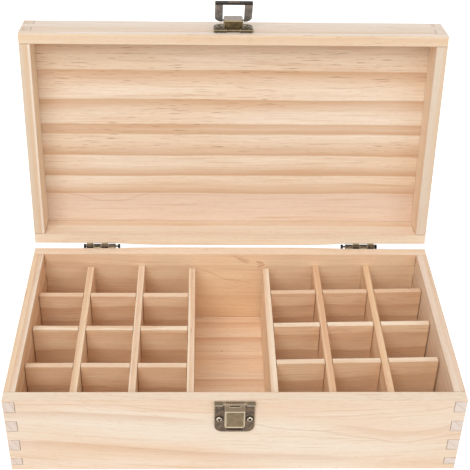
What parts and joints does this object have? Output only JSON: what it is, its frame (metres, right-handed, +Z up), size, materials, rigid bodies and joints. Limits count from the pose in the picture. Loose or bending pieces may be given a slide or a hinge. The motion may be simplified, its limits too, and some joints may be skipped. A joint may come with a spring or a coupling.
{
  "type": "essential oil storage box",
  "caption": "Finger-jointed pine box with a hinged lid, half-lapped dividers forming bottle slots round a middle compartment, and a bronze lever and loop latch.",
  "frame": {"origin": "centre of the underside of the box", "axes": "+Z up, +X to the right along the box's length seen from the front, the front with the latch faces -Y, lid open"},
  "size_m": [0.295, 0.2215, 0.2506],
  "materials": {
    "pine": "sanded, unfinished",
    "inner_pine": "sanded, unfinished",
    "divider_pine": "sanded, unfinished",
    "aged_bronze": "antiqued, rubbed bright at the edges"
  },
  "bodies": {
    "box": {"body_front_board": "pine", "body_back_board": "pine", "body_left_board": "pine", "body_right_board": "pine", "body_bottom_panel": "inner_pine", "divider_long_left_outer": "divider_pine", "divider_long_left_inner": "divider_pine", "divider_long_left_middle": "divider_pine", "divider_long_right_middle": "divider_pine", "divider_long_right_inner": "divider_pine", "divider_long_right_outer": "divider_pine", "divider_cross_left_back": "divider_pine", "divider_cross_left_centre": "divider_pine", "divider_cross_left_front": "divider_pine", "divider_cross_right_back": "divider_pine", "divider_cross_right_centre": "divider_pine", "divider_cross_right_front": "divider_pine", "hinge_left_body_leaf": "aged_bronze", "hinge_left_pin": "aged_bronze", "hinge_right_body_leaf": "aged_bronze", "hinge_right_pin": "aged_bronze", "latch_body_plate": "aged_bronze", "latch_body_pin": "aged_bronze"},
    "lid": {"lid_front_rail": "pine", "lid_back_rail": "pine", "lid_left_rail": "pine", "lid_right_rail": "pine", "lid_top_panel": "inner_pine", "hinge_left_lid_leaf": "aged_bronze", "hinge_right_lid_leaf": "aged_bronze", "latch_lid_plate": "aged_bronze", "latch_lid_pin": "aged_bronze", "latch_lid_cap": "aged_bronze"},
    "lever": {"latch_lever": "aged_bronze"},
    "loop": {"latch_loop": "aged_bronze"}
  },
  "joints": [
    {"name": "lid_hinge", "type": "hinge", "parent": "box", "child": "lid", "pos_m": [0, 0.0836, 0.06365], "axis": [1, 0, 0], "range_deg": [0, 97.6]},
    {"name": "lever_pivot", "type": "hinge", "parent": "box", "child": "lever", "pos_m": [0, -0.08275, 0.0618], "axis": [-1, 0, 0], "range_deg": [0, 90]},
    {"name": "loop_pivot", "type": "hinge", "parent": "lid", "child": "loop", "pos_m": [0, 0.11827, 0.23164], "axis": [1, 0, 0], "range_deg": [-124.5, 60.2]}
  ]
}
